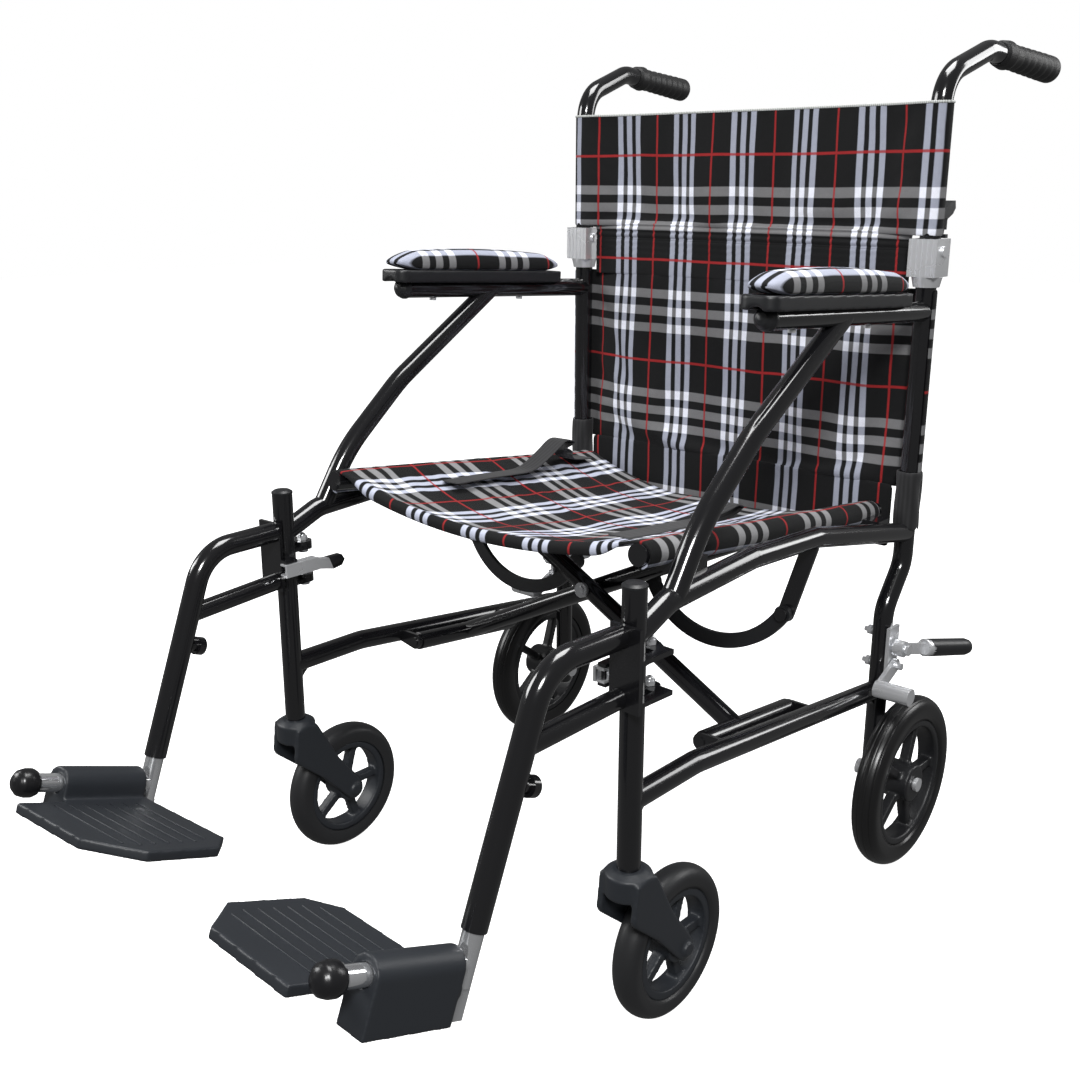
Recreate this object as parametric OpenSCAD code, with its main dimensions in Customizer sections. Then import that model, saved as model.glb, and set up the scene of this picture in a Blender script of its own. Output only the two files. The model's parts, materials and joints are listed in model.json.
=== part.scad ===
// Transport wheelchair with a folding cross-brace frame, fold-down back canes, swing-away
// footrests and push-to-lock rear wheels. Millimetres, +Z up, floor at z = 0, the occupant faces -Y
// and the occupant's left is +X. The origin is on the floor under the middle of the overall box.

/* [Frame] */
// Distance between the centre lines of the left and right posts
track = 482; // [440:2:520]
// Outside diameter of every frame tube
tube_d = 22.2; // [19:0.1:25.4]
// Height of the top of the front posts
post_top_z = 450; // [430:1:460]
// Height of the bottom of the front posts, where the caster forks start
post_foot_z = 185; // [180:1:190]
// Front to back distance from the front posts to the lower rear posts
wheelbase = 474; // [460:1:490]
// Set-back of the upper rear posts behind the lower ones
back_setback = 37; // [30:1:45]

/* [Seat and brace] */
// Distance between the centre lines of the two seat rails
rail_gap = 416; // [400:2:420]
// Diameter of the seat rails and of the lower brace sleeves
rail_d = 21; // [19:0.5:22]
// Height of the front end of the seat rails
seat_front_z = 460; // [455:1:465]
// Fall of the seat and of the brace pivots towards the rear, in degrees
seat_fall = 6.3; // [5:0.1:7]
// Sag of the seat sling at its middle
seat_sag = 38; // [20:1:45]

/* [Back] */
// Height of the cane hinge pins
hinge_z = 703; // [695:1:710]
// Height of the top edge of the back upholstery
back_top_z = 857; // [850:1:880]
// Diameter of the push grips
grip_d = 30; // [26:1:34]

/* [Wheels] */
// Rear wheel diameter
rear_wheel_d = 203.2; // [200:0.2:206]
// Front caster wheel diameter
caster_d = 152.4; // [148:0.2:154]
// Trail of the casters behind their swivel axis
caster_trail = 64.7; // [60:0.1:68]

/* [Footrests] */
// Lean of the hanger tubes from the vertical, in degrees
hanger_lean = 21.5; // [20:0.5:23]
// Toe-in of the hangers, in degrees
toe_in = 3; // [2:0.5:4]
// Reach of a footplate inwards from its hinge
plate_reach = 166; // [150:1:168]
// Length of a footplate from toe to heel
plate_len = 146; // [140:1:146]

/* [Hidden] */
$fn = 48;
tube_r = tube_d / 2;
rail_r = rail_d / 2;
fit = 0.06;              // radial running clearance of pins and stems
gap = 0.5;               // clearance between parts that pass each other
elbow_reach = 0.6;       // straight tube inside an elbow
elbow_swell = 0.05;      // extra radius of an elbow

front_y = -203;                      // axis of the front posts
rear_y = front_y + wheelbase;        // axis of the lower rear posts and of the rear axle
back_y = rear_y + back_setback;      // axis of the upper rear posts and of the canes
post_x = track / 2;

fall_tan = tan(seat_fall);
brace_x = rail_gap / 2;              // seat rails and sleeves lie on this plane, inside the posts
brace_y = 43;                        // the brace crosses here
function rail_z(y) = seat_front_z - fall_tan * (y - rail_front_y);
rail_front_y = -157;
rail_len = 452;
sleeve_front_y = -40;
sleeve_len = 160;
sleeve_rise = 206;                   // sleeve axis to seat rail axis, square to the fall
rise_y = sleeve_rise * sin(seat_fall);
rise_z = sleeve_rise * cos(seat_fall);
// A point on the sleeve axis at the crossing plane, and the centre pivot half way up to the rails
foot_y = brace_y - rise_y / 2;
foot_z = rail_z(brace_y + rise_y / 2) - rise_z;
pivot_z = foot_z + rise_z / 2;
brace_len = sqrt(rail_gap * rail_gap + sleeve_rise * sleeve_rise);
brace_angle = atan(sleeve_rise / rail_gap);
brace_side = 11.7;                   // each cross tube lies this far to its side of the crossing plane

link_x = 222;                        // bracket pin of a brace link
link_up = 118;                       // height of that pin above the sleeve axis, square to the fall
link_reach = 166;
link_side = 32.5;                      // plane of the links behind the crossing plane
link_sag = 46;

rail_low_front_z = 251;              // lower rail at the front post
rail_low_rear_z = 206;               // lower rail at the rear post
rail_low_bend_y = -103;

axle_z = rear_wheel_d / 2;
rear_wheel_x = 279.5;                // middle of the rear tyres
rear_tyre_w = 30;
caster_w = 28;
caster_z = caster_d / 2;
caster_y = front_y + caster_trail;

arm_z = 657;                         // armrest tube at its front end
arm_front_y = -14;
arm_fall = 3.3;
pad_len = 282;
pad_w = 40;
pad_front_y = -38;

swing_y = front_y + 24;              // hanger hinge bolts, behind the front posts
lug_low_z = 349;
lug_high_z = 387;
strap_t = 4.5;
hanger_top_z = 409;
hanger_low_z = 353;
hanger_bend_y = -310;
hanger_end_z = 208;
hanger_end_y = hanger_bend_y - (hanger_top_z - hanger_end_z) * tan(hanger_lean);
ext_r = 9.2;
plate_hinge_drop = 27;               // hinge tube below the end of the hanger tube, along it
plate_hinge_y = hanger_end_y - plate_hinge_drop * sin(hanger_lean);
plate_hinge_z = hanger_end_z - plate_hinge_drop * cos(hanger_lean);
hinge_tube_len = 140;
plate_toe = 156;                      // toe edge of a footplate in front of the hinge tube's rear end

lock_y = rear_y;
lock_z = 262;
lock_x = post_x + 21;
shoe_pin_z = 240;
shoe_y = -38;                        // shoe from its own pin
shoe_z = -17;

// ---- Helpers -------------------------------------------------------------------------------

// Turns a shape drawn in the XY plane so that its X runs along +Y and its Y along +Z
module upright() { rotate([90, 0, 90]) children(); }

function turn_of(a, b) = let (t = b - a) t > 180 ? t - 360 : t < -180 ? t + 360 : t;
function heading(p, q) = atan2(q[1] - p[1], q[0] - p[0]);
function trim(pts, i, r) =
    (i == 0 || i == len(pts) - 1) ? 0 :
    r * tan(abs(turn_of(heading(pts[i - 1], pts[i]), heading(pts[i], pts[i + 1]))) / 2);

// Round bar along points in the XY plane, with every corner bent to one radius. The elbows are a
// hair thicker than the straight stretches, which reach a little way into them.
module bent_bar(pts, bend_r, r) {
    for (i = [0 : len(pts) - 2]) {
        a = heading(pts[i], pts[i + 1]);
        start = trim(pts, i, bend_r) - (i > 0 ? elbow_reach : 0);
        stop = trim(pts, i + 1, bend_r) - (i < len(pts) - 2 ? elbow_reach : 0);
        run = norm(pts[i + 1] - pts[i]) - start - stop;
        translate([pts[i][0] + start * cos(a), pts[i][1] + start * sin(a), 0])
            rotate([0, 90, a]) cylinder(r = r, h = run);
    }
    for (i = [1 : 1 : len(pts) - 2]) {
        a = heading(pts[i - 1], pts[i]);
        turn = turn_of(a, heading(pts[i], pts[i + 1]));
        side = turn > 0 ? 1 : -1;
        back = trim(pts, i, bend_r);
        cx = pts[i][0] - back * cos(a) - side * bend_r * sin(a);
        cy = pts[i][1] - back * sin(a) + side * bend_r * cos(a);
        translate([cx, cy, 0])
            rotate([0, 0, turn > 0 ? a - 90 : a + 90 + turn])
                rotate_extrude(angle = abs(turn)) translate([bend_r, 0]) circle(r = r + elbow_swell);
    }
}

// Cylinder along +X centred on x
module bar_x(x, r, len) { translate([x - len / 2, 0, 0]) rotate([0, 90, 0]) cylinder(r = r, h = len); }

// Frame along the brace axis: local Z follows the seat fall, local X stays, local Y is up
module along_fall(x, y, z) {
    translate([x, y, z]) rotate([-90 - seat_fall, 0, 0]) mirror([0, 1, 0]) children();
}

// Draws a left-hand part as it is, or mirrored to the right
module sided(side) { if (side > 0) children(); else mirror([1, 0, 0]) children(); }

// Room for a vertical post, a hair wider than the tube so that mitred ends close cleanly
module post_room(y) { translate([post_x, y, 100]) cylinder(r = tube_r + 0.05, h = 700); }

// ---- Side frame ----------------------------------------------------------------------------

module hanger_lug(z) {
    difference() {
        union() {
            translate([post_x, swing_y, z - strap_t]) cylinder(r = 10, h = strap_t);
            translate([post_x - 9, front_y + 4, z - strap_t]) cube([18, swing_y - front_y - 4, strap_t]);
        }
        translate([post_x, swing_y, z - 10]) cylinder(r = 3 + fit, h = 20);
        translate([post_x, front_y, z - 10]) cylinder(r = tube_r - 0.5, h = 20);
    }
}

// Two ears on the inner side of the front post and the pin of the footrest latch between them
module latch_ears() {
    for (z = [-10.5, 7.5]) {
        translate([post_x - 24.5, front_y - 18, latch_z + z]) cube([9, 15, 3]);
        translate([post_x - 24.5, front_y - 10, latch_z + z]) cube([18.5, 7, 3]);
    }
    translate([post_x - latch_pin_in, front_y - latch_pin_fwd, latch_z - 10.5]) cylinder(r = 2.5, h = 21);
}

// Front post with its hanger lugs, latch ears and the bore for the caster stem
module front_post(side) {
    color("black") sided(side) difference() {
        union() {
            translate([post_x, front_y, post_foot_z]) cylinder(r = tube_r, h = post_top_z - post_foot_z);
            hanger_lug(lug_low_z);
            hanger_lug(lug_high_z);
            latch_ears();
        }
        translate([post_x, front_y, post_foot_z - 1]) cylinder(r = 6 + fit, h = 62);
    }
}

// Concave web plate in the corner between a tube and a rail
module web_plate(size) {
    difference() {
        cube([size, size, 5], center = false);
        translate([size, 0, -1]) cylinder(r = size - 3, h = 7);
    }
}

// Lower side rail with its end webs, the two lugs below it and the rod that the brace sleeve turns on
module lower_rail(side) {
    pts = [[front_y, rail_low_front_z], [rail_low_bend_y, rail_low_front_z], [rear_y, rail_low_rear_z]];
    color("black") sided(side) difference() {
        union() {
            translate([post_x, 0, 0]) upright() bent_bar(pts, 90, tube_r);
            translate([post_x - 2.5, front_y, rail_low_front_z - 44]) upright() web_plate(44);
            translate([post_x - 2.5, rear_y, rail_low_rear_z - 41])
                upright() mirror([1, 0, 0]) web_plate(44);
            for (s = [-6, sleeve_len + 1])
                along_fall(brace_x, sleeve_axis_y(s), sleeve_axis_z(s)) hull() {
                    cylinder(r = 9, h = 5, $fn = 32);
                    translate([post_x - brace_x, 3, 0]) cylinder(r = 6, h = 5, $fn = 32);
                }
            along_fall(brace_x, sleeve_axis_y(-7), sleeve_axis_z(-7)) cylinder(r = 5, h = sleeve_len + 14);
        }
        post_room(front_y);
        post_room(rear_y);
    }
}

// Point on the sleeve axis, s millimetres behind its front end
sleeve_front_z = foot_z - fall_tan * (sleeve_front_y - foot_y);
function sleeve_axis_y(s) = sleeve_front_y + s * cos(seat_fall);
function sleeve_axis_z(s) = sleeve_front_z - s * sin(seat_fall);

// Arched rail from the front post to the rear post, with the saddles for the seat rail and the
// bracket of the brace link
module arched_rail(side) {
    color("black") sided(side) difference() {
        union() {
            arch_tube(tube_r);
            for (y = [-118, 242]) seat_saddle(y);
            link_bracket();
        }
        post_room(front_y);
        post_room(back_y);
        seat_rail_space();
    }
}

arch_pts = [[front_y, 405], [front_y + 48, 425], [-20, 433], [100, 427], [back_y, 388]];
module arch_tube(r) { translate([post_x, 0, 0]) upright() bent_bar(arch_pts, 42, r); }

// Height of the arched rail's centre line near the saddles
function arch_z(y) = y < -20 ? 433 + (y + 20) * 0.06 : 427 - (y - 100) * 0.186;

module seat_rail_space() {
    along_fall(brace_x, rail_front_y, seat_front_z) translate([0, 0, -30])
        cylinder(r = rail_r + gap, h = rail_len + 60);
}

// Cradle that reaches in from the arched rail and holds the seat rail from below
module seat_saddle(y) {
    top = rail_z(y) - 3;
    low = rail_z(y + 24) - rail_r - 7;
    web = arch_z(y + 12) - 2;
    translate([brace_x - 7, y, low]) cube([post_x - brace_x + 4, 24, top - low]);
    translate([post_x - 9, y, min(web, low)]) cube([8, 24, top - min(web, low)]);
}

link_pin_y = foot_y + link_up * sin(seat_fall) + link_side * cos(seat_fall);
link_pin_z = foot_z + link_up * cos(seat_fall) - link_side * sin(seat_fall);

// Plate below the arched rail with the pin that a brace link turns on
module link_bracket() {
    along_fall(link_x, link_pin_y, link_pin_z) {
        translate([0, 0, 3.6]) hull() {
            cylinder(r = 9, h = 4, $fn = 32);
            translate([post_x - link_x, 74, 0]) cylinder(r = 9, h = 4, $fn = 32);
        }
        translate([0, 0, -4]) cylinder(r = 4, h = 9);
        translate([0, 0, -7]) cylinder(r = 7, h = 3.4);
    }
}

// Armrest tube and the curved strut that carries it
module armrest_frame(side) {
    arm_run = back_y - arm_front_y;
    strut_pts = [[-148, 425.5], [-110, 484], [-28, 553], [128, 648.8]];
    color("black") sided(side) difference() {
        translate([post_x, 0, 0]) upright() union() {
            bent_bar([[arm_front_y, arm_z], [back_y, arm_z - arm_run * tan(arm_fall)]], 10, tube_r);
            bent_bar(strut_pts, 190, tube_r);
        }
        post_room(back_y);
        arch_tube(tube_r + 0.05);
    }
}

// Rear post with its forward step below the seat
module rear_post(side) {
    pts = [[rear_y, axle_z - 16], [rear_y, 304], [back_y, 352], [back_y, hinge_z - 23]];
    color("black") translate([side * post_x, 0, 0]) difference() {
        upright() bent_bar(pts, 38, tube_r);
        translate([0, rear_y, axle_z]) bar_x(0, 6, 60);
        for (z = [lock_z + 14, lock_z - 24]) translate([0, rear_y, z]) bar_x(0, 3, 60);
    }
}

// Plastic plugs: post cap, armrest tube ball end and post foot plug
module end_caps(side) {
    color("dimgray") sided(side) {
        translate([post_x, front_y, post_top_z]) rotate_extrude()
            polygon([[0, 0], [tube_r + 0.4, 0], [tube_r + 0.4, 1.6], [tube_r - 2.5, 3.6], [0, 4.4]]);
        translate([post_x, arm_front_y, arm_z]) rotate([90 - arm_fall, 0, 0]) rotate_extrude()
            polygon([[0, 0], [tube_r + 1, 0], [tube_r + 1, 3], [tube_r - 1, 8], [tube_r - 5, 12], [0, 14]]);
        translate([post_x, rear_y, axle_z - 16]) mirror([0, 0, 1]) rotate_extrude()
            polygon([[0, 0], [tube_r, 0], [tube_r - 1.5, 3], [0, 3.5]]);
    }
}

// Moulded tray under the armrest pad
module armrest_base(side) {
    color("darkslategray") sided(side) difference() {
        translate([post_x, arm_front_y, arm_z]) rotate([-arm_fall, 0, 0])
            translate([0, pad_front_y - arm_front_y, tube_r - 4]) pad_block(pad_len, pad_w, 14, 12);
        translate([post_x, 0, 0]) upright()
            bent_bar([[arm_front_y - 40, arm_z + 40 * tan(arm_fall)],
                      [back_y, arm_z - (back_y - arm_front_y) * tan(arm_fall)]], 10, tube_r);
        translate([post_x, arm_front_y, arm_z]) rotate([-arm_fall, 0, 0])
            translate([0, -17, 0]) rotate([-90, 0, 0]) cylinder(r = tube_r + 1.3, h = 18);
        translate([post_x, back_y, 0]) cylinder(r = tube_r + gap, h = 800);
    }
}

// Block with round ends in plan, its front end at y = 0
module pad_block(len, w, h, end_r) {
    for (y = [end_r, len - end_r], x = [-w / 2 + end_r, w / 2 - end_r])
        translate([x, y, 0]) cylinder(r = end_r, h = h);
    translate([-w / 2, end_r, 0]) cube([w, len - 2 * end_r, h]);
    translate([-w / 2 + end_r, 0, 0]) cube([w - 2 * end_r, len, h]);
}

module armrest_pad(side) {
    color("lightslategray") sided(side) translate([post_x, arm_front_y, arm_z]) rotate([-arm_fall, 0, 0])
        translate([0, pad_front_y - arm_front_y + 3, tube_r + 10]) {
            pad_block(pad_len - 6, pad_w - 5, 10, 10);
            translate([0, 6, 10]) pad_block(pad_len - 18, pad_w - 13, 5, 9);
        }
}

// Silver hinge block: a clamp round the top of the rear post with two cheeks for the cane pin
module hinge_block(side) {
    cheek_x = tube_r + 0.6;
    color("silver") sided(side) difference() {
        translate([post_x, back_y, 0]) union() {
            translate([-16, -16.5, hinge_z - 27]) cube([32, 33, 5.5]);
            translate([0, 0, hinge_z - 38]) cylinder(r1 = 14, r2 = 16.5, h = 11);
            for (s = [-1, 1]) translate([s > 0 ? cheek_x : -cheek_x - 4.4, -16.5, hinge_z - 27])
                cube([4.4, 33, 40]);
            translate([-16, -16.5, hinge_z - 27]) cube([32, 3.3, 40]);
        }
        translate([post_x, back_y, hinge_z - 60]) cylinder(r = tube_r, h = 60 - 23);
        for (k = [-2 : 2]) translate([post_x + k * 6, back_y - 16.5, hinge_z - 30]) cylinder(r = 1, h = 60);
    }
    color("silver") sided(side) translate([0, back_y, hinge_z]) {
        bar_x(post_x, 4, 33.5);
        for (s = [-1, 1]) bar_x(post_x + s * 17.2, 5.5, 2.4);
    }
}

// Bolts and nuts of one side: hanger hinges, rear axle, armrest screws
module frame_bolts(side) {
    color("silver") sided(side) {
        for (z = [lug_low_z, lug_high_z]) translate([post_x, swing_y, 0]) {
            translate([0, 0, z - strap_t - 4]) cylinder(r = 3, h = 16);
            translate([0, 0, z - strap_t - 4]) cylinder(r = 5.5, h = 4);
            translate([0, 0, z + strap_t + gap]) cylinder(r = 5.6, h = 4.5, $fn = 6);
            translate([0, 0, z + strap_t + gap + 4.5]) sphere(r = 4);
        }
        translate([0, rear_y, axle_z]) {
            bar_x(post_x + 22, 6, 76);
            bar_x(post_x - tube_r - 3, 9, 5.9);
            bar_x(post_x + tube_r + 3.2, 9, 6.2);
            bar_x(rear_wheel_x + 20, 8, 4);
        }
        for (y = [30, 180]) translate([post_x, arm_front_y, arm_z]) rotate([-arm_fall, 0, 0])
            translate([0, y - arm_front_y, -tube_r - 3]) cylinder(r = 4, h = 3);
    }
}

// ---- Casters and rear wheels ---------------------------------------------------------------

// Fork crown on its stem, two arms and the axle
module caster_fork(side) {
    arm_in = caster_w / 2 + 2.5;
    color("#202226") sided(side) translate([post_x, front_y, 0]) {
        translate([0, 0, post_foot_z - 27]) cylinder(r = 22, h = 22);
        translate([0, 0, post_foot_z - 5]) cylinder(r1 = 22, r2 = 15, h = 4.5);
        for (s = [-1, 1]) translate([s > 0 ? arm_in : -arm_in - 6, 0, 0]) upright()
            linear_extrude(6) fork_outline();
        translate([0, 0, post_foot_z - 20]) cylinder(r = 6, h = 75);
        translate([0, caster_trail, caster_z]) bar_x(0, 4, 2 * arm_in + 16);
        for (s = [-1, 1]) translate([0, caster_trail, caster_z]) bar_x(s * (arm_in + 7.5), 7, 4);
    }
}

// Side outline of a fork arm: from the crown down and back to the axle boss
module fork_outline() {
    hull() {
        translate([-14, post_foot_z - 27]) square([28, 20]);
        translate([-6, post_foot_z - 40]) circle(r = 12);
        translate([30, 118]) circle(r = 15);
    }
    hull() {
        translate([30, 118]) circle(r = 15);
        translate([caster_trail, caster_z]) circle(r = 12);
    }
}

// Solid tyre with round shoulders
module tyre(d, w, rim_r, shoulder) {
    rotate_extrude($fn = 96) difference() {
        translate([rim_r, -w / 2]) square([d / 2 - rim_r, w]);
        for (s = [-1, 1]) translate([d / 2 - shoulder, s * (w / 2 - shoulder)]) difference() {
            translate([0, s > 0 ? 0 : -shoulder]) square([shoulder + 1, shoulder + 1]);
            circle(r = shoulder);
        }
    }
}

// Rim, spokes and hub, with the axle bore
module rim(rim_r, w, hub_r, hub_w, spokes, bore_r) {
    difference() {
        union() {
            difference() {
                cylinder(r = rim_r - 0.2, h = w, center = true, $fn = 96);
                cylinder(r = rim_r - 9, h = w + 2, center = true, $fn = 96);
            }
            cylinder(r = hub_r, h = hub_w, center = true);
            for (k = [0 : spokes - 1]) rotate([0, 0, k * 360 / spokes + 90])
                translate([hub_r - 2, -5, -w / 4]) cube([rim_r - hub_r - 4, 10, w / 2]);
        }
        cylinder(r = bore_r, h = hub_w + 2, center = true);
    }
}

module caster_tyre(side) {
    color("#3a3b3e") sided(side) translate([post_x, caster_y, caster_z]) rotate([0, 90, 0])
        tyre(caster_d, caster_w, 56, 9);
}
module caster_rim(side) {
    color("#202226") sided(side) translate([post_x, caster_y, caster_z]) rotate([0, 90, 0])
        rim(56, 22, 17, caster_w + 2, 5, 4 + fit);
}
module rear_tyre(side) {
    color("#202020") sided(side) translate([rear_wheel_x, rear_y, axle_z]) rotate([0, 90, 0])
        tyre(rear_wheel_d, rear_tyre_w, 76, 12);
}
module rear_rim(side) {
    color("#202226") sided(side) translate([rear_wheel_x, rear_y, axle_z]) rotate([0, 90, 0])
        rim(76, 24, 22, 34, 5, 6 + fit);
}

// ---- Canes, grips and back latches ---------------------------------------------------------

grip_bend_y = back_y + 90;
grip_bend_z = 911;
grip_end_y = back_y + 240;
grip_end_z = 899;
grip_flare = 4.5;
latch_pin_up = 28;                   // back latch pin above the cane's hinge pin

// Push cane: up from the hinge pin, back to the grip, with the two ears of the back latch
module cane(side) {
    pts = [[0, hinge_z - 6], [0, 880], [grip_bend_y - back_y, grip_bend_z],
           [grip_end_y - back_y - 6, grip_end_z + 0.5]];
    color("black") sided(side) translate([post_x, back_y, 0]) {
        difference() {
            union() {
                rotate([0, 0, -grip_flare]) upright() bent_bar(pts, 42, tube_r);
                for (x = [-8.2, 6.2]) translate([x, 8, hinge_z + 22]) cube([2, 13, 12]);
            }
            translate([0, 0, hinge_z]) bar_x(0, 4 + fit, 60);
        }
        translate([0, 17.5, hinge_z + latch_pin_up]) bar_x(0, 2, 15);
    }
}

// Moulded rubber push grip with finger ribs and a round end
module grip(side) {
    fall = atan2(grip_bend_z - grip_end_z, grip_end_y - grip_bend_y);
    length = 128;
    ribs = [for (k = [0 : 5]) for (p = [[0, 0], [-1.2, 6], [0, 12]])
        [grip_d / 2 + p[0] - 0.25 * k, 14 + k * 14 + p[1]]];
    color("#1b1b1d") sided(side) translate([post_x, back_y, 0]) rotate([0, 0, -grip_flare])
        translate([0, grip_end_y - back_y, grip_end_z]) rotate([90 - fall, 0, 0]) difference() {
            rotate_extrude() polygon(concat(
                [[0, -2], [grip_d / 2 - 4, -2], [grip_d / 2, 4], [grip_d / 2, 12]], ribs,
                [[grip_d / 2 - 1.6, 104], [grip_d / 2 + 0.5, 112], [grip_d / 2 - 1, length - 4],
                 [tube_r + 1, length], [0, length]]));
            translate([0, 0, 6]) cylinder(r = tube_r, h = length);
        }
}

// Release lever on the back of the cane, with a bar between the cheeks of the hinge block
module back_latch(side) {
    profile = [[15, 14], [13.5, 18], [13.5, 34], [20, 44], [34, 52], [44, 52], [46, 44], [40, 38],
               [28, 33], [22, 24], [19.5, 14]];
    color("#15161c") sided(side) translate([post_x, back_y, hinge_z]) {
        difference() {
            translate([-5.5, 0, 0]) upright() linear_extrude(11) polygon(profile);
            translate([0, 17.5, latch_pin_up]) bar_x(0, 2 + fit, 30);
        }
        translate([-11, 13.5, 13.3]) cube([22, 5.5, 4]);
    }
}

// ---- Footrests -----------------------------------------------------------------------------

// Turns a part about the hanger hinge by the toe-in
module toed(side) {
    sided(side) translate([post_x, swing_y, 0]) rotate([0, 0, -toe_in])
        translate([-post_x, -swing_y, 0]) children();
}

// Frame at the foot of the hanger tube: local Z points up along the tube, local Y to the rear
module at_plate_hinge() {
    translate([post_x, plate_hinge_y, plate_hinge_z]) rotate([-hanger_lean, 0, 0]) children();
}

module hanger_strap(z) {
    difference() {
        translate([0, 0, z]) linear_extrude(strap_t) difference() {
            union() {
                translate([post_x, swing_y]) circle(r = 10);
                translate([post_x, swing_y - 10]) square([22.5, 20 - 5.5]);
                translate([post_x + 12.6, front_y - 17]) square([9.9, swing_y - front_y + 20]);
                translate([post_x - 11, front_y - 17]) square([33.5, 5]);
            }
            translate([post_x, front_y]) circle(r = tube_r + 1.5);
        }
        translate([post_x, swing_y, z - 1]) cylinder(r = 3 + fit, h = strap_t + 2);
    }
}

// Bent hanger tube with its cross strut, end plate and the two straps that reach round the post
module hanger(side) {
    plate_y = front_y - 17;
    top = [[plate_y, hanger_top_z], [hanger_bend_y, hanger_top_z], [hanger_end_y, hanger_end_z]];
    strut_y = hanger_bend_y - (hanger_top_z - hanger_low_z) * tan(hanger_lean);
    color("black") toed(side) {
        difference() {
            union() {
                translate([post_x, 0, 0]) upright() bent_bar(top, 48, tube_r);
                translate([post_x, 0, 0]) upright()
                    bent_bar([[plate_y, hanger_low_z], [strut_y, hanger_low_z - 6]], 10, 9.5);
                translate([post_x - 11, plate_y, hanger_low_z - 10])
                    cube([33.5, 4, hanger_top_z - hanger_low_z + 21]);
                translate([post_x, hanger_end_y, hanger_end_z]) rotate([-hanger_lean, 0, 0])
                    translate([0, tube_r - 3, 118]) rotate([-90, 0, 0]) cylinder(r = 6, h = 9);
            }
            at_plate_hinge() translate([0, 0, plate_hinge_drop - 1]) cylinder(r = ext_r + 0.1, h = 150);
        }
        hanger_strap(lug_low_z + 0.2);
        hanger_strap(lug_high_z + 0.2);
        translate([post_x, hanger_end_y, hanger_end_z]) rotate([-hanger_lean, 0, 0])
            translate([0, tube_r + 6, 118]) rotate([-90, 0, 0]) cylinder(r = 9.5, h = 8);
    }
}

latch_x = 25;                        // inner face of the latch channel's web, from the post axis
latch_pin_in = 20.5;                 // footrest latch pin, inside and in front of the post axis
latch_pin_fwd = 14;
latch_z = 370;

// Silver latch channel on the inner side of the post with its black thumb tab
module hanger_latch(side) {
    color("silver") sided(side) translate([post_x, front_y, latch_z]) difference() {
        union() {
            translate([-latch_x - 3, -20, -7]) cube([3, 44, 14]);
            for (z = [-6.8, 4.8]) translate([-latch_x - 2, -19.5, z]) cube([11, 43, 2]);
            translate([-latch_x - 2.5, 24, -7]) upright() linear_extrude(8)
                polygon([[-3, 1], [20, -4], [32, -2], [36, 4], [32, 10], [14, 10], [-3, 12]]);
        }
        translate([-latch_pin_in, -latch_pin_fwd, -20]) cylinder(r = 2.5 + fit, h = 40);
    }
}

// Silver extension tube, its end bar and the forward hinge tube with a ball end
module extension(side) {
    color("silver") toed(side) at_plate_hinge() {
        translate([0, 0, -18]) cylinder(r = ext_r, h = plate_hinge_drop + 130);
        translate([-4.5, -6, -47]) cube([9, 15, 30]);
        rotate([90, 0, 0]) cylinder(r = ext_r - 0.2, h = hinge_tube_len - 9);
        translate([0, -hinge_tube_len + 2, 0]) rotate([90, 0, 0]) rotate_extrude()
            polygon([[0, -8], [12, -8], [13.6, -4], [13.6, 2], [12, 8], [8, 12], [0, 14]]);
    }
}

// Footplate: barrel on the hinge tube, outer skirt and grooved plate with a cut toe corner
module footplate(side) {
    barrel_back = -14;
    barrel_len = 92;
    skirt = 45;
    color("#2e3238") toed(side) at_plate_hinge() difference() {
        union() {
            translate([0, barrel_back, 0]) rotate([90, 0, 0]) cylinder(r = 16, h = barrel_len);
            translate([-16, barrel_back - barrel_len, -skirt]) cube([32, barrel_len, skirt]);
            translate([0, 0, -22]) linear_extrude(10) footplate_outline();
        }
        translate([0, barrel_back + 1, 0]) rotate([90, 0, 0]) cylinder(r = ext_r - 0.2 + fit, h = barrel_len + 2);
        translate([-12, barrel_back - barrel_len + 4, -skirt - 1]) cube([24, barrel_len - 8, skirt - 25]);
        for (k = [0 : 6]) translate([-plate_reach + 18, -plate_toe + 26 + k * 15, -13]) cube([116, 1.6, 3]);
    }
}

// Plan of a footplate, with cut inner corners and a notch in front of its barrel
module footplate_outline() {
    heel = plate_len - plate_toe;
    difference() {
        translate([-plate_reach, -plate_toe]) square([plate_reach + 14, plate_len]);
        translate([-plate_reach, -plate_toe]) rotate([0, 0, 45]) square([60, 60], center = true);
        translate([-plate_reach, heel]) rotate([0, 0, 45]) square([36, 36], center = true);
        translate([-20, -plate_toe - 1]) square([50, 51]);
    }
}

// ---- Wheel locks ---------------------------------------------------------------------------

// Bracket on the outer side of the lower rear post, with its through bolts and the two pins
module wheel_lock_base(side) {
    color("silver") sided(side) {
        translate([post_x + tube_r, lock_y - 12, lock_z - 34]) cube([4, 24, 58]);
        for (z = [lock_z + 14, lock_z - 24]) translate([0, rear_y, z]) {
            bar_x(post_x - 3, 3 - fit, 2 * tube_r + 14);
            bar_x(post_x - tube_r - 3, 5.5, 5);
        }
        translate([0, lock_y, lock_z]) bar_x(post_x + tube_r + 12, 4, 18);
        translate([0, lock_y, shoe_pin_z]) bar_x(post_x + tube_r + 10, 4, 13);
        translate([0, lock_y, lock_z]) bar_x(post_x + tube_r + 22.5, 6.5, 3);
    }
}

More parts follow.
